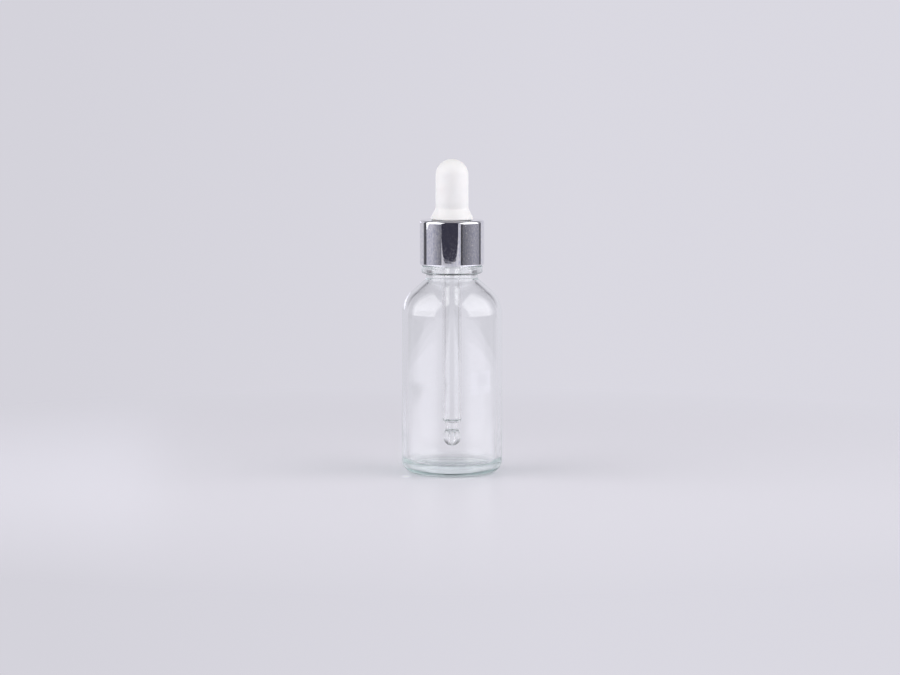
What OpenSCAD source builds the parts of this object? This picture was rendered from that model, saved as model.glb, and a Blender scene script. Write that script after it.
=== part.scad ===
// Dropper bottle: a glass bottle closed by a screw-on dropper.
// The axis is Z. The origin is the centre of the base, and the bottle stands on the XY plane.
// Every piece is a revolved profile, drawn as [radius, height] points.

/* [Bottle] */
// Outside diameter of the body
body_d = 33; // [28:0.5:50]
// Height of the bottle from the table to its mouth
bottle_h = 79; // [64:0.5:120]
// Thickness of the side wall
wall = 1.7; // [1:0.1:2.5]
// Thickness of the base at the edge of the inside floor
base_t = 3.6; // [2.5:0.1:6]
// Outside radius of the heel
heel_r = 4.2; // [1.5:0.1:6]
// Radius where the inside wall meets the floor
floor_r = 1.8; // [0.5:0.1:4]
// Rise of the inside floor from its edge to its middle
floor_rise = 0.6; // [0.2:0.1:1.5]
// Rise of the hollow under the base
push_up = 1.2; // [0.4:0.1:2]
// Width of the flat ring that the bottle stands on
stand_w = 2; // [1:0.1:4]
// Radius of the shoulder
shoulder_r = 11; // [4:0.5:12]
// Angle of the shoulder's cone above the horizontal
shoulder_slope = 40; // [30:1:55]

/* [Neck] */
// Diameter of the finish under its thread
neck_d = 16; // [14:0.1:20]
// Glass wall round the bore, in the finish and in the neck
neck_wall = 1.5; // [1.3:0.1:3]
// Height of the finish from the top of the bead to the mouth
finish_h = 10.5; // [8:0.1:16]
// Diameter of the bead under the collar
bead_d = 20.1; // [19:0.1:23]
// Height of the bead
bead_h = 2.5; // [2.2:0.1:4]
// How far the bead stands out from the neck under it
bead_out = 1.55; // [1.3:0.05:2.5]
// Radius of the bead's lower edge
bead_low_r = 1.2; // [0.4:0.1:1.3]
// Radius of the bead's upper edge
bead_top_r = 0.5; // [0.2:0.05:0.55]
// Height of the straight neck under the bead
neck_h = 1.3; // [0.2:0.1:4]
// Radius of the hollow between the neck and the shoulder
neck_fillet = 1.2; // [0.5:0.1:3]
// Radius of the rim round the mouth
mouth_r = 0.5; // [0.2:0.05:0.6]

/* [Cap] */
// Depth of the screw thread that the cap's bore leaves room for
thread_depth = 1; // [0.6:0.05:1.4]
// Gap round the thread
thread_gap = 0.2; // [0.1:0.05:0.4]
// Wall of the inner cap
cap_wall = 1; // [0.7:0.1:2]
// Thickness of the web over the bulb's flange
web_t = 1.4; // [0.8:0.1:2.5]
// Thickness of the metal shell
shell_t = 0.4; // [0.25:0.05:0.6]
// Outside radius of the shell's top edge
shell_edge_r = 0.8; // [0.65:0.05:1.3]
// Gap between the closed collar and the bead
collar_gap = 0.15; // [0.1:0.05:0.6]
// Inside radius of the shell's turned-in lower edge
shell_curl_in_r = 0.1; // [0.05:0.05:0.3]
// How far the inner cap ends above the turned-in edge
cap_inset = 0.3; // [0.1:0.1:1.5]

/* [Bulb] */
// Outside diameter of the bulb
bulb_d = 10.8; // [10:0.1:14]
// Height of the bulb above the collar
bulb_h = 20; // [16:0.1:40]
// Rubber wall of the bulb
bulb_wall = 1.6; // [0.8:0.1:2]
// How far the skirt on the collar stands out from the bulb
skirt_out = 1.6; // [1:0.05:3]
// Angle of the skirt's cone from the vertical
skirt_flare = 27; // [15:1:40]
// Radius of the hollow between the bulb and its skirt
skirt_hollow_r = 1.5; // [0.5:0.1:5]
// Radius of the skirt's lip
skirt_lip_r = 0.45; // [0.2:0.05:0.6]
// Rubber wall where the bulb grips the pipette
grip_wall = 1.5; // [1:0.1:2]
// Thickness of the flange that seals the mouth
flange_t = 2.5; // [1.5:0.1:4]
// Radius of the flange's edges
flange_edge_r = 0.3; // [0.1:0.05:0.5]

/* [Pipette] */
// Outside diameter of the tube
tube_d = 6.2; // [5:0.1:7]
// Glass wall of the tube
tube_wall = 0.9; // [0.6:0.05:1.2]
// Height of the tip above the inside floor
tip_gap = 5.3; // [3:0.1:12]
// Diameter of the ball at the tip
ball_d = 6.1; // [4.5:0.1:7]
// Diameter of the drawn-in neck above the ball
tip_neck_d = 4.3; // [3:0.1:4.4]
// Height of the straight part of the drawn-in neck
tip_neck_h = 2.2; // [1:0.1:5]
// Radius of the hollow between the ball and the drawn-in neck
ball_fillet = 0.6; // [0.3:0.1:1.5]
// Radius of the hollow above the drawn-in neck
tip_throat_r = 0.7; // [0.5:0.1:1.5]
// Diameter of the hole in the tip
tip_bore_d = 1.2; // [0.6:0.1:2]
// Diameter of the flat face round the hole
tip_face_d = 2.6; // [2.2:0.1:3.2]
// Inside radius where the tube turns in to the drawn-in neck
tube_turn_in_r = 0.3; // [0.2:0.05:1]
// How far the rim on the tube's top stands out
rim_out = 0.4; // [0.2:0.05:0.6]
// Height of the rim on the tube's top
rim_h = 1.6; // [1.2:0.1:3]
// Radius of the rim's edges
rim_edge_r = 0.5; // [0.2:0.05:0.55]

/* [Fits] */
// Gap between pieces that move against each other
move_gap = 0.08; // [0.05:0.01:0.15]
// Gap between pieces that are pressed together
press_gap = 0.01; // [0.005:0.005:0.03]

/* [Hidden] */
$fn = 120;
arc_steps = 10;

// Radii
body_r = body_d / 2;
neck_r = neck_d / 2;
bore_r = neck_r - neck_wall;
bead_r = bead_d / 2;
neck_low_r = bead_r - bead_out;
neck_low_bore_r = neck_low_r - neck_wall;
inside_r = body_r - wall;
tube_r = tube_d / 2;
cap_bore_r = neck_r + thread_depth + thread_gap;
cap_r = cap_bore_r + cap_wall;
shell_in_r = cap_r + press_gap;
shell_r = shell_in_r + shell_t;
shell_curl_r = shell_curl_in_r + shell_t;
grip_bore_r = tube_r + move_gap;
waist_r = grip_bore_r + grip_wall;
web_hole_r = waist_r + move_gap;
flange_r = cap_bore_r - move_gap;
bulb_r = bulb_d / 2;
bulb_in_r = bulb_r - bulb_wall;
skirt_r = bulb_r + skirt_out;
rim_r = tube_r + rim_out;
rim_seat_r = rim_r + move_gap;

// Heights of the neck and the cap, from the bead up
bead_top = bottle_h - finish_h;
bead_low = bead_top - bead_h;
flange_low = bottle_h + move_gap;
flange_top = flange_low + flange_t;
web_low = flange_top + move_gap;
web_top = web_low + web_t;
shell_in_top = web_top + press_gap;
shell_top = shell_in_top + shell_t;
shell_low = bead_top + collar_gap;
cap_low = shell_low + shell_curl_r + cap_inset;

// Heights of the bulb
skirt_low = shell_top + move_gap;
bulb_top = shell_top + bulb_h;
crown_z = bulb_top - bulb_r;
grip_top = skirt_low + bulb_wall;

// Heights of the pipette
rim_low = grip_top + move_gap;
tube_top = rim_low + rim_h;
rim_seat_top = tube_top + move_gap;
tip_low = base_t + tip_gap;
ball_r = ball_d / 2;
tip_face_r = tip_face_d / 2;
ball_z = tip_low + sqrt(pow(ball_r, 2) - pow(tip_face_r, 2));
tip_neck_r = tip_neck_d / 2;
tube_turn_r = tube_turn_in_r + tube_wall;

// The ball, the drawn-in neck and the tube meet in arcs that touch each other
ball_fillet_a = acos((tip_neck_r + ball_fillet) / (ball_r + ball_fillet));
ball_fillet_z = ball_z + (ball_r + ball_fillet) * sin(ball_fillet_a);
tip_throat_z = ball_fillet_z + tip_neck_h;
tube_turn_a = acos(1 - (tube_r - tip_neck_r) / (tube_turn_r + tip_throat_r));
tube_turn_z = tip_throat_z + (tube_turn_r + tip_throat_r) * sin(tube_turn_a);

// The shoulder is an arc, then a cone that meets the neck in a hollow fillet.
// A point on a cone has the same distance along the cone's normal wherever it is.
normal_a = 90 - shoulder_slope;
fillet_z = bead_low - neck_h;
cone_out = (neck_low_r + neck_fillet) * cos(normal_a) + fillet_z * sin(normal_a) - neck_fillet;
shoulder_z = (cone_out - shoulder_r - (body_r - shoulder_r) * cos(normal_a)) / sin(normal_a);
cone_in = cone_out - wall;
throat_r = neck_fillet + wall / 2;
throat_z = (cone_in + throat_r - (neck_low_bore_r + throat_r) * cos(normal_a)) / sin(normal_a);

// Points of an arc from one angle to another
function arc(centre, r, from, to) = [
    for (i = [0 : arc_steps])
        let (a = from + (to - from) * i / arc_steps)
        centre + r * [cos(a), sin(a)]
];

// Points of a shallow dome from its edge to the axis
function dome(edge_r, edge_z, rise) =
    let (r = (pow(edge_r, 2) + pow(rise, 2)) / (2 * rise))
    let (half = asin(edge_r / r))
    arc([0, edge_z + rise - r], r, 90 - half, 90);

// A list of points the other way round
function back(points) = [for (i = [len(points) - 1 : -1 : 0]) points[i]];

// A list of points without its first
function rest(points) = [for (i = [1 : len(points) - 1]) points[i]];

// Blown glass bottle
module bottle() {
    hollow_r = body_r - heel_r - stand_w;
    outside = concat(
        back(dome(hollow_r, 0, push_up)),
        arc([body_r - heel_r, heel_r], heel_r, -90, 0),
        arc([body_r - shoulder_r, shoulder_z], shoulder_r, 0, normal_a),
        back(arc([neck_low_r + neck_fillet, fillet_z], neck_fillet, 180, 180 + normal_a)),
        [[neck_low_r, bead_low]],
        arc([bead_r - bead_low_r, bead_low + bead_low_r], bead_low_r, -90, 0),
        arc([bead_r - bead_top_r, bead_top - bead_top_r], bead_top_r, 0, 90),
        [[neck_r, bead_top]],
        arc([neck_r - mouth_r, bottle_h - mouth_r], mouth_r, 0, 90)
    );
    inside = concat(
        arc([bore_r + mouth_r, bottle_h - mouth_r], mouth_r, 90, 180),
        [[bore_r, bead_top], [neck_low_bore_r, bead_low]],
        arc([neck_low_bore_r + throat_r, throat_z], throat_r, 180, 180 + normal_a),
        back(arc([body_r - shoulder_r, shoulder_z], shoulder_r - wall, 0, normal_a)),
        arc([inside_r - floor_r, base_t + floor_r], floor_r, 0, -90),
        dome(inside_r - floor_r, base_t, floor_rise)
    );
    color([0.86, 0.9, 0.9, 0.4])
        rotate_extrude()
            polygon(concat(outside, inside));
}

// Plastic screw cap inside the collar
module inner_cap() {
    edge_r = shell_edge_r - shell_t;
    color("whitesmoke")
        rotate_extrude()
            polygon(concat(
                [[cap_bore_r, cap_low], [cap_r, cap_low]],
                arc([cap_r - edge_r, web_top - edge_r], edge_r, 0, 90),
                [[web_hole_r, web_top], [web_hole_r, web_low], [cap_bore_r, web_low]]
            ));
}

// Bright metal shell over the cap
module collar_shell() {
    edge_c = [shell_r - shell_edge_r, shell_top - shell_edge_r];
    curl_c = [shell_r - shell_curl_r, shell_low + shell_curl_r];
    color("silver")
        rotate_extrude()
            polygon(concat(
                arc(curl_c, shell_curl_r, -90, 0),
                arc(edge_c, shell_edge_r, 0, 90),
                [[web_hole_r, shell_top], [web_hole_r, shell_in_top]],
                back(arc(edge_c, shell_edge_r - shell_t, 0, 90)),
                back(arc(curl_c, shell_curl_in_r, -90, 0))
            ));
}

// Rubber bulb with its skirt, waist and sealing flange
module bulb() {
    // The skirt's cone touches its lip and meets the bulb in a hollow, as the shoulder meets the neck
    lip_c = [skirt_r - skirt_lip_r, skirt_low + skirt_lip_r];
    flare_n = [cos(skirt_flare), sin(skirt_flare)];
    flare_out = lip_c * flare_n + skirt_lip_r;
    hollow_z = (flare_out + skirt_hollow_r - (bulb_r + skirt_hollow_r) * flare_n[0]) / flare_n[1];
    outside = concat(
        arc([flange_r - flange_edge_r, flange_low + flange_edge_r], flange_edge_r, -90, 0),
        arc([flange_r - flange_edge_r, flange_top - flange_edge_r], flange_edge_r, 0, 90),
        [[waist_r, flange_top], [waist_r, skirt_low]],
        arc(lip_c, skirt_lip_r, -90, skirt_flare),
        back(arc([bulb_r + skirt_hollow_r, hollow_z], skirt_hollow_r, 180, 180 + skirt_flare)),
        arc([0, crown_z], bulb_r, 0, 90)
    );
    inside = concat(
        back(arc([0, crown_z], bulb_in_r, 0, 90)),
        [[bulb_in_r, rim_seat_top], [rim_seat_r, rim_seat_top], [rim_seat_r, grip_top]],
        [[grip_bore_r, grip_top], [grip_bore_r, flange_low]]
    );
    color("white")
        rotate_extrude()
            polygon(concat(outside, inside));
}

// Glass tube with a ball tip
module pipette() {
    tube_in_r = tube_r - tube_wall;
    tip_bore_r = tip_bore_d / 2;
    ball_low_a = -acos(tip_face_r / ball_r);
    fillet_c = [tip_neck_r + ball_fillet, ball_fillet_z];
    throat_c = [tip_neck_r + tip_throat_r, tip_throat_z];
    turn_c = [tube_r - tube_turn_r, tube_turn_z];
    outside = concat(
        [[tip_bore_r, tip_low]],
        arc([0, ball_z], ball_r, ball_low_a, ball_fillet_a),
        rest(back(arc(fillet_c, ball_fillet, 180, 180 + ball_fillet_a))),
        arc(throat_c, tip_throat_r, 180, 180 - tube_turn_a),
        rest(arc(turn_c, tube_turn_r, -tube_turn_a, 0)),
        [[tube_r, rim_low]],
        arc([rim_r - rim_edge_r, rim_low + rim_edge_r], rim_edge_r, -90, 0),
        arc([rim_r - rim_edge_r, tube_top - rim_edge_r], rim_edge_r, 0, 90)
    );
    // The bore follows the tube into the neck at an even wall, then narrows to the tip
    inside = concat(
        [[tube_in_r, tube_top]],
        arc(turn_c, tube_turn_in_r, 0, -tube_turn_a),
        rest(arc(throat_c, tip_throat_r + tube_wall, 180 - tube_turn_a, 180)),
        [[tip_neck_r - tube_wall, ball_fillet_z]]
    );
    color([0.86, 0.9, 0.9, 0.5])
        rotate_extrude()
            polygon(concat(outside, inside));
}

bottle();
inner_cap();
collar_shell();
bulb();
pipette();
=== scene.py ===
import math

import bpy
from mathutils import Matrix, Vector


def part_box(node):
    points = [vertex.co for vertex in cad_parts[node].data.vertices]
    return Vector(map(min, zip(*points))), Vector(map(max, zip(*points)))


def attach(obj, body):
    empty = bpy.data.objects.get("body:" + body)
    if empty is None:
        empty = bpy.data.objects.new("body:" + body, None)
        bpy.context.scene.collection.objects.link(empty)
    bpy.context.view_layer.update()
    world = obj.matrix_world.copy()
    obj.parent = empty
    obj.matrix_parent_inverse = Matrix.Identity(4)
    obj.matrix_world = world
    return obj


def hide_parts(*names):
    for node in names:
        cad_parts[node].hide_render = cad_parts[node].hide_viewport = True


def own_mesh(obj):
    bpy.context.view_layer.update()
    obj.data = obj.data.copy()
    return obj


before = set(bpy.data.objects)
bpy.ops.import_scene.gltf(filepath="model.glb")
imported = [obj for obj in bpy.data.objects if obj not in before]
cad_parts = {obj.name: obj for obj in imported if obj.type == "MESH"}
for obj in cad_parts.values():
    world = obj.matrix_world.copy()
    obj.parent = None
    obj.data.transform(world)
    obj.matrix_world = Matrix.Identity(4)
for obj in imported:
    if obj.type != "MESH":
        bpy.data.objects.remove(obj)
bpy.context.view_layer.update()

# The object's lengths are in millimetres up to the moment a piece is made, and angles in degrees.
MM = 0.001
MERGE = 1e-6  # metres
HELD_ROW = 0.04
TURN_STEPS = 144
TUBE_STEPS = 96
BAR_STEPS = 4
SQUEEZE_STEPS = 12
SMOOTH_ANGLE = 40.0


def reach(node):
    """Outer radius, lowest and highest point of a round CAD node."""
    low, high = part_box(node)
    return high.x / MM, low.z / MM, high.z / MM


body_r, _, bottle_h = reach("bottle")
cap_r, cap_low, web_top = reach("inner_cap")
shell_r, shell_low, shell_top = reach("collar_shell")
flange_r, flange_low, bulb_top = reach("bulb")
rim_r, tip_low, tube_top = reach("pipette")

# Bottle; the inside of its wall is given as radii and heights
base_t = 3.6
heel_r = 4.2
floor_r = 1.8
floor_rise = 0.6
floor_edge_r = 14.5
inside_wall = [(14.6, 10.6), (14.8, 17.0), (14.9, 30.5), (14.85, 43.7), (14.8, 50.0)]
push_up = 1.2
stand_w = 2.0
knurl_bars = 60
knurl_depth = 0.15
knurl_margin = 0.1
shoulder_r = 11.0
shoulder_slope = 40.0
wall = 1.7
neck_r = 8.0
bore_r = 6.5
neck_fillet = 1.2
neck_low_r = 8.5
neck_low_bore_r = 7.0
neck_h = 1.3
bead_r = 10.05
bead_h = 2.5
bead_low_r = 0.6
bead_top_r = 0.5
finish_h = 10.5
mouth_r = 0.5
corner_r = 0.35

# Screw thread on the neck and in the cap; a flank is a share of half the ridge's width
thread_pitch = 3.0
thread_turns = 1.9
thread_run_out = 0.125  # turns
thread_flank = 0.5
thread_depth = 1.0
thread_w = 1.7
thread_start = 2.4
thread_row = 0.15
thread_root_play = 0.001
cap_bore_r = 9.2
cap_thread_depth = 0.75
cap_thread_w = 1.1

# Collar and cap
shell_t = 0.4
shell_edge_r = 0.8
shell_curl_r = 0.5
web_t = 1.4
web_hole_r = 4.76

# Rubber bulb
bulb_r = 5.4
bulb_wall = 1.6
skirt_r = 7.0
skirt_low = shell_top + 0.08
skirt_lip_r = 0.45
skirt_flare = 27.0
skirt_hollow_r = 1.5
waist_r = 4.68
grip_r = 3.18
grip_top = skirt_low + 1.6
rim_seat_r = 3.58
rim_seat_top = tube_top + 0.08
flange_t = 2.5
flange_edge_r = 0.3
squeeze_split = 88.2
squeeze_row = 1.0
squeeze_dome = 4.5
squeeze_dome_r = 3.3
squeeze_bore_r = 2.6
squeeze_lip = 0.5
squeeze_skin = 0.02

# Pipette; the bore of its ball is given as radii and heights from the ball's middle
tube_r = 3.1
tube_in_r = 2.2
ball_r = 3.05
ball_bore = [(1.0, 1.2), (0.75, -0.4)]
tip_face_r = 1.3
tip_bore_r = 0.6
tip_bore_h = 0.5
tip_neck_r = 2.15
tip_neck_h = 2.2
tip_throat_r = 0.7
ball_fillet = 0.6
tube_turn_r = 1.2
rim_h = 1.6
rim_edge_r = 0.5

# Finishes: colours, sizes and depths of grains in millimetres, and ranges of roughness
CLEAR = (1.0, 1.0, 1.0, 1.0)
GLASS_IOR = 1.52
RIPPLE_DRAW = (1, 1, 0.4)
BOTTLE_TINT = (0.12, 0.66, 0.58, 1.0)
BOTTLE_DENSITY = 4.5
BOTTLE_RIPPLE = 9.0
BOTTLE_RIPPLE_DEPTH = 0.012
TUBE_TINT = (0.5, 0.55, 0.5, 1.0)
TUBE_DENSITY = 5.0
TUBE_RIPPLE = 6.0
TUBE_RIPPLE_DEPTH = 0.003
METAL_COOL = (0.67, 0.685, 0.76, 1.0)
METAL_WARM = (0.93, 0.915, 0.905, 1.0)
METAL_GRAIN = 0.5
METAL_GRAIN_DEPTH = 0.0015
METAL_DRAW = (1, 1, 0.5)
METAL_SPECK = 0.35
METAL_SPECK_RANGE = (0.57, 0.8)
METAL_ROUGHNESS = (0.01, 0.2)
RUBBER_SHADES = ((0.90, 0.885, 0.88, 1.0), (0.93, 0.92, 0.915, 1.0))
RUBBER_CLOUD = 3.0
RUBBER_SKIN = 0.2
RUBBER_SKIN_DEPTH = 0.008
RUBBER_ROUGHNESS = (0.42, 0.56)
RUBBER_SOFT = 0.1
RUBBER_SOFT_DEPTH = 0.4
RUBBER_SOFT_RADIUS = (1.0, 0.8, 0.7)
PLASTIC_SHADES = ((0.78, 0.78, 0.76, 1.0), (0.84, 0.84, 0.83, 1.0))
PLASTIC_CLOUD = 2.0
PLASTIC_SKIN = 0.3
PLASTIC_SKIN_DEPTH = 0.01
PLASTIC_ROUGHNESS = (0.3, 0.45)
PLASTIC_SOFT = 0.15
PLASTIC_SOFT_DEPTH = 1.5

# Camera, in millimetres and degrees, and the photograph's width and lens in its own pixels
camera_x = -0.66
camera_distance = 1340.0
camera_height = 172.0
camera_pitch = 5.43
focal_px = 4087.0
photo_w_px = 900
sensor_w = 36.0

# Studio, in metres. Azimuths are seen from the object: 0 is towards the camera, positive to its
# right. Heights in the world are those of a direction, from 0 level to 1 straight up.
BACKDROP = (0.70, 0.69, 0.755, 1.0)
# Painted shade: the backdrop turns a little darker towards the camera's left
BACKDROP_SHADED_LEFT = (0.66, 0.65, 0.71, 1.0)
BACKDROP_SHADE_FADE = (-0.1, 0.03)
CEILING = (0.16, 0.16, 0.18, 1.0)
CEILING_HEIGHTS = (0.3, 0.75)
AMBIENT = (0.98, 0.97, 1.0, 1.0)
AMBIENT_LEVEL = 0.42
FLAG = (0.04, 0.04, 0.05, 1.0)
FLAG_SIDES = (108, 120, 150, 162)
FLAG_HEIGHTS = (0.05, 0.55)

# Table: distances and ovals, each a centre and half widths; its azimuths are in radians
TABLE = (0.815, 0.80, 0.86, 1.0)
TABLE_ROUGHNESS = 0.35
TABLE_SPECULAR = 0.25
TABLE_R = 6.0
TABLE_SIDES = 128
TABLE_FADE = (0.04, 0.26)
DIM = (0.38, 0.38, 0.41, 1.0)
DIM_EDGE = (-6.2, 4.38)
DIM_EDGE_SOFT = 0.12
DIM_SIDES = (0.6, 0.8, 2.05, 2.25)
LEFT_SHADE = ((-0.26, 0.01), (0.045, 0.125))
LEFT_SHADE_SOFT = (0.55, 1.1)
SHEEN_LEVEL = 0.85
SHEEN_SIDES = (0.4, 0.8, 1.6, 1.9)
SHEEN_FROM = (0.03, 0.06)
GLINT_LEVEL = 0.24
GLINT = ((-0.0150, -0.0112), (0.0017, 0.0046))
GLINT_SOFT = (0.3, 1.1)

# Lamps on both sides, and what is left of their light in and behind the glass
LAMP_PLACE = (0.49, -0.25, 0.4)
LAMP_LEAN = 71.0
LAMP_SIZE = (0.8, 0.83)
LEFT_LAMP = 3.15
RIGHT_LAMP = 3.4
LAMP_THROUGH_BOTTLE = (0.91, 0.963, 0.948, 1.0)
LAMP_THROUGH_TUBE = (0.95, 0.95, 0.95, 1.0)
LAMP_BEHIND_GLASS = 0.41
LAMP_AT_LAST = 0.25

# Cards that show in the metal and the glass
CARD = (0.96, 0.95, 1.09, 1.0)
DARK_CARD = (0.95, 0.92, 1.35, 1.0)
BLACK = (0.0, 0.0, 0.0, 1.0)
CARD_AWAY = 0.58
CARD_STEPS = 48
CARD_CORNER = 6

# Light caught in the glass goes straight on, weakened, after the last bounce that is traced
LAST_GLOSSY = 5
LAST_DEPTH = 13
LAST_SHARE = 0.84


def arc(centre, r, start, end, steps=12):
    """Points of an arc of an outline, each a radius and a height."""
    angles = [math.radians(start + (end - start) * i / steps) for i in range(steps + 1)]
    return [(centre[0] + r * math.cos(a), centre[1] + r * math.sin(a)) for a in angles]


def dome(edge_r, edge_z, rise):
    """Points of a shallow dome from the axis out to its edge."""
    r = (edge_r**2 + rise**2) / (2 * rise)
    half = math.degrees(math.asin(edge_r / r))
    return arc((0, edge_z + rise - r), r, 90, 90 - half)


def between(start, end, share):
    """The point at a share of the way from one point to another."""
    return tuple(a + (b - a) * share for a, b in zip(start, end))


def straight(start, end, steps):
    """Evenly spaced points of a straight stretch, both ends included."""
    return [between(start, end, i / steps) for i in range(steps + 1)]


def held(start, end, steps):
    """Points inside a straight stretch; a close row at each end keeps the shading flat there."""
    share = HELD_ROW / math.dist(start, end)
    return straight(between(start, end, share), between(start, end, 1 - share), steps)


def smooth_curve(points, steps=6):
    """A smooth curve through the points, from the first to the last."""
    ends = [points[0], *points, points[-1]]
    curve = [points[0]]
    for before, here, there, after in zip(ends, ends[1:], ends[2:], ends[3:]):
        for i in range(1, steps + 1):
            t = i / steps
            curve.append(tuple(
                b + 0.5 * t * (c - a + t * (2 * a - 5 * b + 4 * c - d + t * (3 * (b - c) + d - a)))
                for a, b, c, d in zip(before, here, there, after)
            ))
    return curve


def first_point(name, place):
    """A new piece in edit mode that is one vertex, ready to be extruded."""
    bpy.ops.object.select_all(action="DESELECT")
    bpy.ops.mesh.primitive_plane_add(size=MM)
    piece = bpy.context.object
    piece.name = name
    bpy.ops.object.mode_set(mode="EDIT")
    bpy.ops.mesh.merge(type="CENTER")
    bpy.ops.transform.translate(value=place)
    return piece


def turned(name, outline, steps=TURN_STEPS):
    """Draws an outline by extruding one vertex along it, and spins it round the axis."""
    points = [(r * MM, 0.0, z * MM) for r, z in outline]
    piece = first_point(name, points[0])
    for here, there in zip(points, points[1:]):
        move = tuple(b - a for a, b in zip(here, there))
        bpy.ops.mesh.extrude_vertices_move(TRANSFORM_OT_translate={"value": move})
    bpy.ops.mesh.select_all(action="SELECT")
    bpy.ops.mesh.spin(steps=steps, angle=math.tau, center=(0, 0, 0), axis=(0, 0, 1))
    bpy.ops.mesh.select_all(action="SELECT")
    bpy.ops.mesh.remove_doubles(threshold=MERGE)
    bpy.ops.mesh.normals_make_consistent(inside=False)
    bpy.ops.object.mode_set(mode="OBJECT")
    bpy.ops.object.shade_smooth_by_angle(angle=math.radians(SMOOTH_ANGLE))
    return piece


def cut_thread(piece, root_r, start, depth, width):
    """Raises a right-handed ridge on the plain stretch at root_r, inwards if depth is negative."""
    for vertex in piece.data.vertices:
        x, y, z = (c / MM for c in vertex.co)
        if abs(math.hypot(x, y) - root_r) > thread_root_play:
            continue
        first = math.atan2(y, x) / math.tau % 1
        for turn in (first, first + 1):
            off = abs(z - start - thread_pitch * turn) / (width / 2)
            fade = min(1, turn / thread_run_out, (thread_turns - turn) / thread_run_out)
            if off < 1 and fade > 0:
                flank = min(1, (1 - off) / thread_flank)
                rounded = 0.5 * (1 + math.sin(math.pi * (flank - 0.5)))
                crest = flank * depth * fade * rounded
                vertex.co.x *= (root_r + crest) / root_r
                vertex.co.y *= (root_r + crest) / root_r


# Node materials
def node_material(name):
    """A new material, its node tree and its Principled shader."""
    material = bpy.data.materials.new(name)
    material.use_nodes = True
    return material, material.node_tree, material.node_tree.nodes["Principled BSDF"]


def settle(node, **values):
    """Sets a node's own sockets; an underscore in a name stands for a space."""
    for name, value in values.items():
        node.inputs[name.replace("_", " ")].default_value = value


def noise(tree, size, stretch=(1, 1, 1), detail=3.0):
    """Noise with grains of a size in millimetres, on the piece's own coordinates."""
    place = tree.nodes.new("ShaderNodeTexCoord")
    mapping = tree.nodes.new("ShaderNodeMapping")
    texture = tree.nodes.new("ShaderNodeTexNoise")
    settle(mapping, Scale=stretch)
    settle(texture, Scale=1 / (size * MM), Detail=detail)
    tree.links.new(place.outputs["Object"], mapping.inputs["Vector"])
    tree.links.new(mapping.outputs["Vector"], texture.inputs["Vector"])
    return texture.outputs["Fac"]


def spread(tree, fac, low, high, start=0.3, end=0.7):
    """Spreads a value from start to end over low to high; the usual ends suit a noise."""
    node = tree.nodes.new("ShaderNodeMapRange")
    settle(node, From_Min=start, From_Max=end, To_Min=low, To_Max=high)
    tree.links.new(fac, node.inputs["Value"])
    return node.outputs["Result"]


def worked(tree, operation, *values):
    """A math node on sockets or plain numbers."""
    node = tree.nodes.new("ShaderNodeMath")
    node.operation = operation
    for socket, value in zip(node.inputs, values):
        if isinstance(value, (int, float)):
            socket.default_value = value
        else:
            tree.links.new(value, socket)
    return node.outputs[0]


def times(tree, product, *values):
    """The product of two or more sockets or numbers."""
    for value in values:
        product = worked(tree, "MULTIPLY", product, value)
    return product


def band(tree, value, start, full, fade, end):
    """1 where a value lies between full and fade, falling to 0 at start and at end."""
    return times(tree, spread(tree, value, 0, 1, start, full), spread(tree, value, 1, 0, fade, end))


def mixed_colour(tree, fac, first, second):
    """Mixes two colours, plain or from a socket, by a factor."""
    node = tree.nodes.new("ShaderNodeMix")
    node.data_type = "RGBA"
    sockets = [socket for socket in node.inputs if socket.type == "RGBA"]
    for socket, colour in zip(sockets, (first, second)):
        if isinstance(colour, tuple):
            socket.default_value = colour
        else:
            tree.links.new(colour, socket)
    tree.links.new(fac, node.inputs["Factor"])
    return next(socket for socket in node.outputs if socket.type == "RGBA")


def mixed_shader(tree, fac, first, second):
    """Mixes two shaders by a factor."""
    node = tree.nodes.new("ShaderNodeMixShader")
    for socket, link in zip(node.inputs, (fac, first, second)):
        tree.links.new(link, socket)
    return node.outputs["Shader"]


def clouded(tree, shader, cloud, first, second):
    """Colours a surface between two shades by a noise."""
    colour = mixed_colour(tree, spread(tree, cloud, 0, 1), first, second)
    tree.links.new(colour, shader.inputs["Base Color"])


def bumped(tree, shader, height, depth):
    """Raises the surface's shading by a height map of a depth in millimetres."""
    node = tree.nodes.new("ShaderNodeBump")
    settle(node, Distance=depth * MM, Strength=1.0)
    tree.links.new(height, node.inputs["Height"])
    tree.links.new(node.outputs["Normal"], shader.inputs["Normal"])


def last_bounce(tree, path):
    """1 for light that has been followed as far as it goes, and only meets what glows."""
    caught = worked(tree, "GREATER_THAN", path.outputs["Glossy Depth"], LAST_GLOSSY - 0.5)
    deep = worked(tree, "GREATER_THAN", path.outputs["Ray Depth"], LAST_DEPTH - 0.5)
    return worked(tree, "MAXIMUM", caught, deep)


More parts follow.
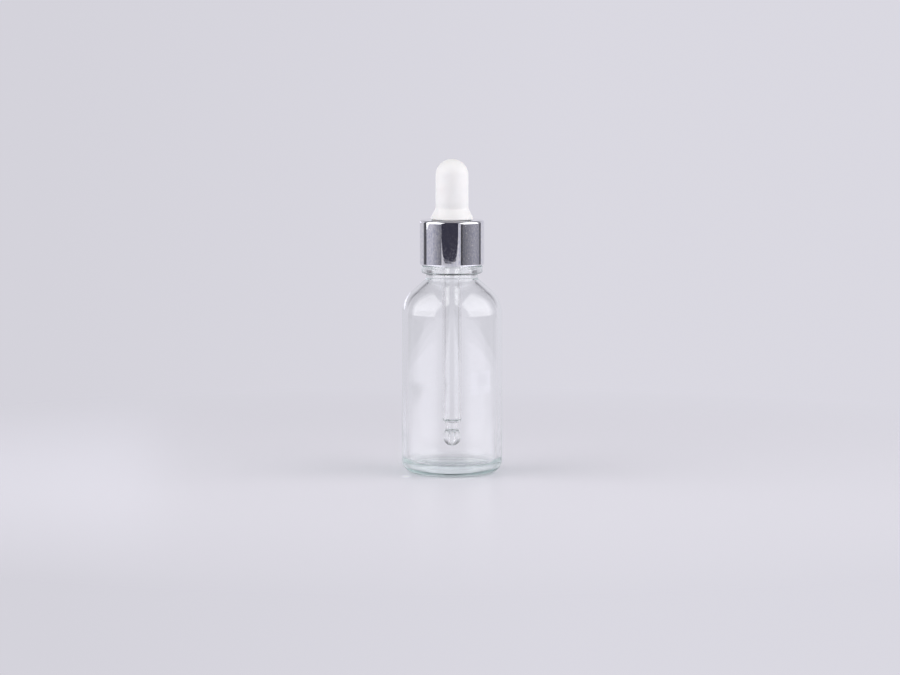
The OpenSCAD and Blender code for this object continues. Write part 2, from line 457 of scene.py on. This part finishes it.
def clear_glass(name, tint, density, through, ripple, ripple_depth):
    """Clear glass with a tint that shows where it is thick, and the slow ripple of blown glass."""
    material, tree, shader = node_material(name)
    settle(shader, Base_Color=CLEAR, Roughness=0.0, IOR=GLASS_IOR, Transmission_Weight=1.0)
    bumped(tree, shader, noise(tree, ripple, stretch=RIPPLE_DRAW, detail=1.0), ripple_depth)
    volume = tree.nodes.new("ShaderNodeVolumeAbsorption")
    settle(volume, Color=tint, Density=density)
    clear = tree.nodes.new("ShaderNodeBsdfTransparent")
    settle(clear, Color=through)
    path = tree.nodes.new("ShaderNodeLightPath")
    last = times(tree, last_bounce(tree, path), LAST_SHARE)
    straight_on = worked(tree, "MAXIMUM", path.outputs["Is Shadow Ray"], last)
    surface = mixed_shader(tree, straight_on, shader.outputs["BSDF"], clear.outputs["BSDF"])
    output = tree.nodes["Material Output"]
    tree.links.new(surface, output.inputs["Surface"])
    tree.links.new(volume.outputs["Volume"], output.inputs["Volume"])
    return material


def bright_metal():
    """Polished aluminium with a fine mottled grain and dull specks."""
    material, tree, shader = node_material("bright_aluminium")
    settle(shader, Metallic=1.0)
    grain = noise(tree, METAL_GRAIN, stretch=METAL_DRAW, detail=4.0)
    clouded(tree, shader, grain, METAL_COOL, METAL_WARM)
    specks = spread(tree, noise(tree, METAL_SPECK), *METAL_ROUGHNESS, *METAL_SPECK_RANGE)
    tree.links.new(specks, shader.inputs["Roughness"])
    bumped(tree, shader, grain, METAL_GRAIN_DEPTH)
    return material


def satin_rubber():
    """Soft white rubber with a fine moulded skin."""
    material, tree, shader = node_material("white_rubber")
    settle(shader, Subsurface_Weight=RUBBER_SOFT, Subsurface_Scale=RUBBER_SOFT_DEPTH * MM)
    settle(shader, Subsurface_Radius=RUBBER_SOFT_RADIUS)
    clouded(tree, shader, noise(tree, RUBBER_CLOUD, detail=4.0), *RUBBER_SHADES)
    skin = noise(tree, RUBBER_SKIN, detail=2.0)
    tree.links.new(spread(tree, skin, *RUBBER_ROUGHNESS), shader.inputs["Roughness"])
    bumped(tree, shader, skin, RUBBER_SKIN_DEPTH)
    return material


def moulded_plastic():
    """Natural white moulded plastic."""
    material, tree, shader = node_material("cap_plastic")
    settle(shader, Subsurface_Weight=PLASTIC_SOFT, Subsurface_Scale=PLASTIC_SOFT_DEPTH * MM)
    clouded(tree, shader, noise(tree, PLASTIC_CLOUD), *PLASTIC_SHADES)
    skin = noise(tree, PLASTIC_SKIN, detail=2.0)
    tree.links.new(spread(tree, skin, *PLASTIC_ROUGHNESS), shader.inputs["Roughness"])
    bumped(tree, shader, skin, PLASTIC_SKIN_DEPTH)
    return material


# Pieces
def blown_bottle():
    """Glass bottle: ringed base, round shoulder, beaded neck and screw finish, hollow inside."""
    lean = 90 - shoulder_slope
    out_r, out_z = math.cos(math.radians(lean)), math.sin(math.radians(lean))
    bead_top = bottle_h - finish_h
    bead_low = bead_top - bead_h
    fillet_z = bead_low - neck_h
    cone_out = (neck_low_r + neck_fillet) * out_r + fillet_z * out_z - neck_fillet
    shoulder_z = (cone_out - shoulder_r - (body_r - shoulder_r) * out_r) / out_z
    throat_r = neck_fillet + wall / 2
    throat_z = (cone_out - wall + throat_r - (neck_low_bore_r + throat_r) * out_r) / out_z
    hollow_r = body_r - heel_r - stand_w
    stand_r = body_r - heel_r
    finish_low = bead_top + corner_r
    finish_top = bottle_h - mouth_r
    finish_rows = round((finish_top - finish_low) / thread_row)
    shoulder_out = arc((body_r - shoulder_r, shoulder_z), shoulder_r, 0, lean, 30)
    fillet = arc((neck_low_r + neck_fillet, fillet_z), neck_fillet, 180, 180 + lean)
    outside = [
        *dome(hollow_r, 0, push_up),
        *straight((hollow_r, 0), (stand_r, 0), 4),
        *arc((stand_r, heel_r), heel_r, -90, 0, 20),
        *held((body_r, heel_r), (body_r, shoulder_z), 12),
        *shoulder_out,
        *held(shoulder_out[-1], fillet[-1], 3),
        *reversed(fillet),
        *reversed(arc((neck_low_r + corner_r, bead_low - corner_r), corner_r, 90, 180, 6)),
        *arc((bead_r - bead_low_r, bead_low + bead_low_r), bead_low_r, -90, 0),
        *arc((bead_r - bead_top_r, bead_top - bead_top_r), bead_top_r, 0, 90, 8),
        *reversed(arc((neck_r + corner_r, finish_low), corner_r, 180, 270, 6)),
        *straight((neck_r, finish_low), (neck_r, finish_top), finish_rows),
        *arc((neck_r - mouth_r, finish_top), mouth_r, 0, 90, 8),
    ]
    floor_top = base_t + floor_r
    shoulder_in = arc((body_r - shoulder_r, shoulder_z), shoulder_r - wall, 0, lean, 30)
    throat = arc((neck_low_bore_r + throat_r, throat_z), throat_r, 180, 180 + lean)
    inside = [
        *arc((bore_r + mouth_r, finish_top), mouth_r, 90, 180, 8),
        *held((bore_r, finish_top), (bore_r, bead_top), 4),
        *smooth_curve([(bore_r, bead_top), (neck_low_bore_r, bead_low)]),
        *throat,
        *held(throat[-1], shoulder_in[-1], 3),
        *reversed(shoulder_in),
        *reversed(smooth_curve([(floor_edge_r, floor_top), *inside_wall])),
        *arc((floor_edge_r - floor_r, floor_top), floor_r, 0, -90),
        *reversed(dome(floor_edge_r - floor_r, base_t, floor_rise)),
    ]
    piece = turned("blown_bottle", outside + inside, steps=BAR_STEPS * knurl_bars)
    cut_thread(piece, neck_r, bead_top + thread_start, thread_depth, thread_w)
    for vertex in piece.data.vertices:
        r = math.hypot(vertex.co.x, vertex.co.y) / MM
        if vertex.co.z < MERGE and hollow_r + knurl_margin < r < stand_r - knurl_margin:
            bar = math.cos(knurl_bars * math.atan2(vertex.co.y, vertex.co.x))
            vertex.co.z = knurl_depth * MM * 0.5 * (1 - bar)
    return piece


def threaded_cap():
    """Plastic screw cap with its web and inside thread."""
    edge_r = shell_edge_r - shell_t
    web_low = web_top - web_t
    rows = round((web_low - cap_low) / thread_row)
    outline = [
        *straight((cap_bore_r, web_low), (cap_bore_r, cap_low), rows),
        (cap_r, cap_low),
        *arc((cap_r - edge_r, web_top - edge_r), edge_r, 0, 90, 6),
        (web_hole_r, web_top),
        (web_hole_r, web_low),
        (cap_bore_r, web_low),
    ]
    piece = turned("threaded_cap", outline)
    start = bottle_h - finish_h + thread_start - thread_pitch / 2
    cut_thread(piece, cap_bore_r, start, -cap_thread_depth, cap_thread_w)
    return piece


def bright_collar():
    """Drawn metal shell with a round top edge and a turned-in foot."""
    edge = (shell_r - shell_edge_r, shell_top - shell_edge_r)
    curl = (shell_r - shell_curl_r, shell_low + shell_curl_r)
    outline = [
        *arc(curl, shell_curl_r, -90, 0, 10),
        *held((shell_r, curl[1]), (shell_r, edge[1]), 8),
        *arc(edge, shell_edge_r, 0, 90, 14),
        *held((edge[0], shell_top), (web_hole_r, shell_top), 2),
        (web_hole_r, shell_top),
        (web_hole_r, shell_top - shell_t),
        *reversed(arc(edge, shell_edge_r - shell_t, 0, 90, 8)),
        *reversed(arc(curl, shell_curl_r - shell_t, -90, 0, 8)),
        (curl[0], shell_low),
    ]
    return turned("bright_collar", outline)


def squeeze_cap(clear):
    """Outline of the dome that the squeezed bulb closes on, from its foot up."""
    end = math.degrees(math.acos(squeeze_dome_r / bulb_r))
    angles = [math.radians(end * i / SQUEEZE_STEPS) for i in range(SQUEEZE_STEPS + 1)]
    return [
        ((bulb_r + clear) * math.cos(a), squeeze_split + (squeeze_dome + clear) * math.sin(a))
        for a in angles
    ]


def bulb_foot():
    """The part of the bulb that cap and tube hold: skirt, waist, flange and a hidden dome."""
    lip = (skirt_r - skirt_lip_r, skirt_low + skirt_lip_r)
    flare_r, flare_z = math.cos(math.radians(skirt_flare)), math.sin(math.radians(skirt_flare))
    flare_out = lip[0] * flare_r + lip[1] * flare_z + skirt_lip_r
    hollow_z = (flare_out + skirt_hollow_r - (bulb_r + skirt_hollow_r) * flare_r) / flare_z
    hollow = (bulb_r + skirt_hollow_r, hollow_z)
    dome_top = squeeze_split + squeeze_dome * math.sqrt(1 - (squeeze_dome_r / bulb_r) ** 2)
    flange_in = flange_r - flange_edge_r
    flange_top = flange_low + flange_t
    outline = [
        *arc((flange_in, flange_low + flange_edge_r), flange_edge_r, -90, 0, 6),
        *arc((flange_in, flange_top - flange_edge_r), flange_edge_r, 0, 90, 6),
        (waist_r, flange_top),
        (waist_r, skirt_low),
        *arc(lip, skirt_lip_r, -90, skirt_flare, 10),
        *reversed(arc(hollow, skirt_hollow_r, 180, 180 + skirt_flare, 10)),
        *squeeze_cap(0),
        (squeeze_bore_r, dome_top),
        (squeeze_bore_r, rim_seat_top),
        (rim_seat_r, rim_seat_top),
        (rim_seat_r, grip_top),
        (grip_r, grip_top),
        (grip_r, flange_low),
        (flange_in, flange_low),
    ]
    return turned("bulb_foot", outline)


def rubber_bulb():
    """The hollow of the bulb, which finger and thumb pinch flat."""
    crown_z = bulb_top - bulb_r
    hollow = bulb_r - bulb_wall
    over_foot = [p for p in squeeze_cap(squeeze_skin) if hollow < p[0] < bulb_r]
    outline = [
        (bulb_r, squeeze_split),
        *straight((bulb_r, squeeze_split + squeeze_row), (bulb_r, crown_z), 5),
        *arc((0, crown_z), bulb_r, 0, 90, 20),
        *reversed(arc((0, crown_z), hollow, 0, 90, 12)),
        (hollow, over_foot[-1][1] + squeeze_lip),
        *reversed(over_foot),
        (bulb_r, squeeze_split),
    ]
    return turned("rubber_bulb", outline)


def glass_pipette():
    """Glass tube with a held rim, drawn in at an even wall to a narrow neck, and a ball tip."""
    rim_low = tube_top - rim_h
    ball_z = tip_low + math.sqrt(ball_r**2 - tip_face_r**2)
    low_a = -math.degrees(math.acos(tip_face_r / ball_r))
    fillet_reach = ball_r + ball_fillet
    fillet_a = math.degrees(math.acos((tip_neck_r + ball_fillet) / fillet_reach))
    fillet_z = ball_z + fillet_reach * math.sin(math.radians(fillet_a))
    fillet = (tip_neck_r + ball_fillet, fillet_z)
    throat = (tip_neck_r + tip_throat_r, fillet_z + tip_neck_h)
    turn_reach = tube_turn_r + tip_throat_r
    turn_a = math.degrees(math.acos((throat[0] - tube_r + tube_turn_r) / turn_reach))
    turn_z = throat[1] + turn_reach * math.sin(math.radians(turn_a))
    turn = (tube_r - tube_turn_r, turn_z)
    tube_wall = tube_r - tube_in_r
    outline = [
        (tip_bore_r, tip_low),
        *arc((0, ball_z), ball_r, low_a, fillet_a, 24),
        *arc(fillet, ball_fillet, 180 + fillet_a, 180, 8)[1:],
        *arc(throat, tip_throat_r, 180, 180 - turn_a, 8),
        *arc(turn, tube_turn_r, -turn_a, 0, 10)[1:],
        *held((tube_r, turn_z), (tube_r, rim_low), 20),
        (tube_r, rim_low),
        *arc((rim_r - rim_edge_r, rim_low + rim_edge_r), rim_edge_r, -90, 0, 6),
        *arc((rim_r - rim_edge_r, tube_top - rim_edge_r), rim_edge_r, 0, 90, 6),
        *held((tube_in_r, tube_top), (tube_in_r, turn_z), 20),
        *arc(turn, tube_turn_r - tube_wall, 0, -turn_a, 6),
        *arc(throat, tip_throat_r + tube_wall, 180 - turn_a, 180, 10)[1:],
        *smooth_curve([
            (tip_neck_r - tube_wall, fillet_z),
            *((r, ball_z + z) for r, z in ball_bore),
            (tip_bore_r, tip_low + tip_bore_h),
            (tip_bore_r, tip_low),
        ]),
    ]
    return turned("glass_pipette", outline, steps=TUBE_STEPS)


def dress(piece, material, body, node):
    """Gives a piece its finish and its place in the part."""
    piece.data.materials.clear()
    piece.data.materials.append(material)
    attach(piece, body)
    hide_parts(node)


# Studio
def studio_camera():
    """Camera at the photograph's angle."""
    place = (camera_x * MM, -camera_distance * MM, camera_height * MM)
    bpy.ops.object.camera_add(location=place, rotation=(math.radians(90 - camera_pitch), 0, 0))
    camera = bpy.context.object
    camera.data.sensor_width = sensor_w
    camera.data.lens = focal_px * sensor_w / photo_w_px
    bpy.context.scene.camera = camera


def place_axes(tree, kind):
    """X, Y and Z of a place on a piece, or of a direction in the world."""
    place = tree.nodes.new("ShaderNodeTexCoord")
    split = tree.nodes.new("ShaderNodeSeparateXYZ")
    tree.links.new(place.outputs[kind], split.inputs["Vector"])
    return split.outputs


def azimuth(tree, across, y):
    """Angle round the object in radians, 0 towards the camera."""
    return worked(tree, "ARCTAN2", across, times(tree, y, -1))


def backdrop_colour(tree, across, away):
    """The backdrop's colour, with painted shade that darkens it a little towards the camera's left.
    """
    fan = worked(tree, "DIVIDE", across, away)
    return mixed_colour(tree, spread(tree, fan, 0, 1, *BACKDROP_SHADE_FADE), BACKDROP_SHADED_LEFT, BACKDROP)


def studio_world():
    """Pale surroundings for what is seen, dark flags in the glass, and a plain light all round."""
    world = bpy.data.worlds.new("studio")
    bpy.context.scene.world = world
    world.use_nodes = True
    tree = world.node_tree
    tree.nodes.clear()
    path = tree.nodes.new("ShaderNodeLightPath")
    axes = place_axes(tree, "Generated")

    # A darker ceiling, which the camera itself doesn't see
    unseen = worked(tree, "SUBTRACT", 1, path.outputs["Is Camera Ray"])
    above = times(tree, spread(tree, axes["Z"], 0, 1, *CEILING_HEIGHTS), unseen)
    ceiling = mixed_colour(tree, last_bounce(tree, path), CEILING, BACKDROP)
    backdrop = mixed_colour(tree, above, backdrop_colour(tree, axes["X"], axes["Y"]), ceiling)

    # A dark flag on each side of the backdrop, which only shows through the glass
    turn = azimuth(tree, worked(tree, "ABSOLUTE", axes["X"]), axes["Y"])
    flags = band(tree, turn, *(math.radians(side) for side in FLAG_SIDES))
    tall = times(tree, flags, spread(tree, axes["Z"], 0, 1, *FLAG_HEIGHTS))
    behind = times(tree, tall, path.outputs["Is Transmission Ray"])
    seen = tree.nodes.new("ShaderNodeBackground")
    tree.links.new(mixed_colour(tree, behind, backdrop, FLAG), seen.inputs["Color"])

    lit = tree.nodes.new("ShaderNodeBackground")
    settle(lit, Color=AMBIENT, Strength=AMBIENT_LEVEL)
    shown = path.outputs["Is Camera Ray"]
    for kind in ("Is Glossy Ray", "Is Transmission Ray"):
        shown = worked(tree, "MAXIMUM", shown, path.outputs[kind])
    surroundings = mixed_shader(tree, shown, lit.outputs[0], seen.outputs[0])
    output = tree.nodes.new("ShaderNodeOutputWorld")
    tree.links.new(surroundings, output.inputs["Surface"])


def oval_distance(tree, axes, centre, half):
    """Distance on the table from an oval's centre, 1 on its edge."""
    shares = [
        worked(tree, "DIVIDE", worked(tree, "SUBTRACT", axes[axis], middle), size)
        for axis, middle, size in zip("XY", centre, half)
    ]
    squares = (worked(tree, "POWER", share, 2) for share in shares)
    return worked(tree, "SQRT", worked(tree, "ADD", *squares))


def studio_floor():
    """Pale satin table top that fades into the backdrop, with the lamps' sheen in reflections."""
    bpy.ops.object.select_all(action="DESELECT")
    bpy.ops.mesh.primitive_circle_add(vertices=TABLE_SIDES, radius=TABLE_R, fill_type="NGON")
    floor = bpy.context.object
    floor.name = "floor"
    material, tree, shader = node_material("pale_table")
    settle(shader, Base_Color=TABLE, Roughness=TABLE_ROUGHNESS, Specular_IOR_Level=TABLE_SPECULAR)
    path = tree.nodes.new("ShaderNodeLightPath")
    axes = place_axes(tree, "Object")
    away = oval_distance(tree, axes, (0, 0), (1, 1))
    turn = azimuth(tree, worked(tree, "ABSOLUTE", axes["X"]), axes["Y"])
    reflected = worked(tree, "GREATER_THAN", path.outputs["Glossy Depth"], 0.5)

    # Dim stretches that only reflections show: past an edge on each side, and an oval on the left
    edge = worked(tree, "MULTIPLY_ADD", away, *DIM_EDGE)
    over_edge = spread(tree, worked(tree, "SUBTRACT", turn, edge), 0, 1, 0, DIM_EDGE_SOFT)
    past = times(tree, over_edge, reflected)
    aside = times(tree, past, band(tree, turn, *DIM_SIDES))
    shade = spread(tree, oval_distance(tree, axes, *LEFT_SHADE), 1, 0, *LEFT_SHADE_SOFT)
    dim = worked(tree, "MAXIMUM", aside, times(tree, shade, reflected))

    # Lit close to the object, and the backdrop's own colour further off, with its painted shade
    # towards the left. Light that is traced to its last bounce meets the table as painted light,
    # which glows in that colour close by as well.
    from_camera = worked(tree, "ADD", axes["Y"], camera_distance * MM)
    backdrop = backdrop_colour(tree, axes["X"], from_camera)
    glow = tree.nodes.new("ShaderNodeEmission")
    tree.links.new(mixed_colour(tree, dim, backdrop, DIM), glow.inputs["Color"])
    far = spread(tree, away, 0, 1, *TABLE_FADE)
    glows = worked(tree, "MAXIMUM", far, last_bounce(tree, path))
    table = mixed_shader(tree, glows, shader.outputs["BSDF"], glow.outputs["Emission"])

    # The lamps' sheen in reflections, and the spot of light that the bottle throws on the table
    towards = band(tree, turn, *SHEEN_SIDES)
    unshaded = worked(tree, "SUBTRACT", reflected, past)
    clear = times(tree, spread(tree, away, 0, 1, *SHEEN_FROM), unshaded)
    lit = times(tree, towards, clear, worked(tree, "SUBTRACT", 1, shade))
    glint = spread(tree, oval_distance(tree, axes, *GLINT), 1, 0, *GLINT_SOFT)
    bright = worked(tree, "MULTIPLY_ADD", lit, SHEEN_LEVEL, times(tree, glint, GLINT_LEVEL))
    sheen = tree.nodes.new("ShaderNodeEmission")
    settle(sheen, Color=BACKDROP)
    tree.links.new(bright, sheen.inputs["Strength"])

    both = tree.nodes.new("ShaderNodeAddShader")
    tree.links.new(table, both.inputs[0])
    tree.links.new(sheen.outputs["Emission"], both.inputs[1])
    tree.links.new(both.outputs["Shader"], tree.nodes["Material Output"].inputs["Surface"])
    floor.data.materials.append(material)


def softbox(side, energy):
    """Tall soft lamp beside the object, leaning over it; it is dimmer straight through glass."""
    across, ahead, up = LAMP_PLACE
    bpy.ops.object.light_add(type="AREA", location=(side * across, ahead, up))
    lamp = bpy.context.object
    lamp.rotation_euler = (0, side * math.radians(LAMP_LEAN), 0)
    lamp.data.shape = "RECTANGLE"
    lamp.data.size, lamp.data.size_y = LAMP_SIZE
    lamp.data.energy = energy
    lamp.visible_camera = False
    lamp.data.use_nodes = True
    tree = lamp.data.node_tree
    path = tree.nodes.new("ShaderNodeLightPath")
    unmirrored = worked(tree, "LESS_THAN", path.outputs["Glossy Depth"], 0.5)
    straight_on = times(tree, unmirrored, path.outputs["Is Transmission Ray"])
    strength = worked(
        tree, "MINIMUM",
        spread(tree, straight_on, 1, LAMP_BEHIND_GLASS, 0, 1),
        spread(tree, last_bounce(tree, path), 1, LAMP_AT_LAST, 0, 1),
    )
    tree.links.new(strength, tree.nodes["Emission"].inputs["Strength"])


def card(
    name, sides, tops, shades, foot=0.0, away=(CARD_AWAY, CARD_AWAY), corners=0.0, colour=CARD
):
    """Curved card that only shows in reflections.

    It runs from one azimuth to another, with a height of its top and a shade for each of the two.
    Its foot and its top are at the two distances away, and its lower corners may be rounded off.
    """
    start, end = sides
    first = math.radians(start - 90)
    outwards = (math.cos(first), math.sin(first))
    piece = first_point(name, (away[0] * outwards[0], away[0] * outwards[1], foot))
    reach_out = away[1] - away[0]
    rise = (reach_out * outwards[0], reach_out * outwards[1], tops[0] - foot)
    bpy.ops.mesh.extrude_vertices_move(TRANSFORM_OT_translate={"value": rise})
    bpy.ops.mesh.select_all(action="SELECT")
    sweep = math.radians(start - end)
    bpy.ops.mesh.spin(steps=CARD_STEPS, angle=sweep, center=(0, 0, 0), axis=(0, 0, 1))
    bpy.ops.object.mode_set(mode="OBJECT")
    for vertex in piece.data.vertices:
        turn = math.degrees(math.atan2(vertex.co.x, -vertex.co.y))
        share = (turn - start) / (end - start)
        if vertex.co.z > foot + MM:
            vertex.co.z = tops[0] + (tops[1] - tops[0]) * share
        else:
            vertex.co.z += corners * abs(2 * share - 1) ** CARD_CORNER
    material, tree, shader = node_material(name)
    settle(shader, Base_Color=BLACK, Specular_IOR_Level=0.0, Emission_Color=colour)
    axes = place_axes(tree, "Object")
    turn = azimuth(tree, axes["X"], axes["Y"])
    shade = spread(tree, turn, *shades, start=math.radians(start), end=math.radians(end))
    tree.links.new(shade, shader.inputs["Emission Strength"])
    piece.data.materials.append(material)
    piece.visible_camera = False
    piece.visible_diffuse = False
    piece.visible_transmission = False
    piece.visible_shadow = False


bpy.context.scene.view_settings.view_transform = "Standard"
studio_camera()
studio_world()
studio_floor()
softbox(-1, LEFT_LAMP)
softbox(1, RIGHT_LAMP)
card(
    "front_dark", sides=(-38, 22), tops=(1.2, 1.2), shades=(0.05, 0.05),
    away=(0.92, 0.92), corners=0.014, colour=DARK_CARD,
)
card("front_sliver", sides=(25, 30), tops=(0.1, 0.1), shades=(0.62, 0.62), away=(0.9, 0.9))
card("front_post", sides=(31, 38), tops=(0.1, 0.1), shades=(0.07, 0.07), away=(0.8, 0.8))
card("right_grey", sides=(38, 88), tops=(0.06, 0.06), shades=(0.165, 0.4))
card("right_shade", sides=(88, 114), tops=(0.06, 0.06), shades=(0.4, 0.32))
card("left_grey", sides=(-72, -38), tops=(0.06, 0.06), shades=(0.52, 0.19))
card("left_pale", sides=(-103, -72), tops=(0.041, 0.05), shades=(0.59, 0.57))
card("right_dark", sides=(114, 124), tops=(0.6, 0.6), shades=(0.1, 0.1))
card("left_dark", sides=(-119, -103), tops=(0.6, 0.6), shades=(0.1, 0.1))
card("left_rim", sides=(-166, -142), tops=(0.13, 0.13), shades=(1.8, 1.8), foot=0.066)
card(
    "table_pale", sides=(43, 96), tops=(0.0005, 0.0005), shades=(1.8, 2.2),
    foot=0.0005, away=(0.26, 0.345),
)

bottle_glass = clear_glass(
    "bottle_glass", BOTTLE_TINT, BOTTLE_DENSITY, LAMP_THROUGH_BOTTLE,
    BOTTLE_RIPPLE, BOTTLE_RIPPLE_DEPTH,
)
pipette_glass = clear_glass(
    "pipette_glass", TUBE_TINT, TUBE_DENSITY, LAMP_THROUGH_TUBE,
    TUBE_RIPPLE, TUBE_RIPPLE_DEPTH,
)
rubber = satin_rubber()
dress(blown_bottle(), bottle_glass, "bottle", "bottle")
dress(glass_pipette(), pipette_glass, "dropper", "pipette")
dress(threaded_cap(), moulded_plastic(), "cap", "inner_cap")
dress(bright_collar(), bright_metal(), "cap", "collar_shell")
dress(bulb_foot(), rubber, "dropper", "bulb")
bulb = rubber_bulb()
dress(bulb, rubber, "bulb", "bulb")
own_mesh(bulb)
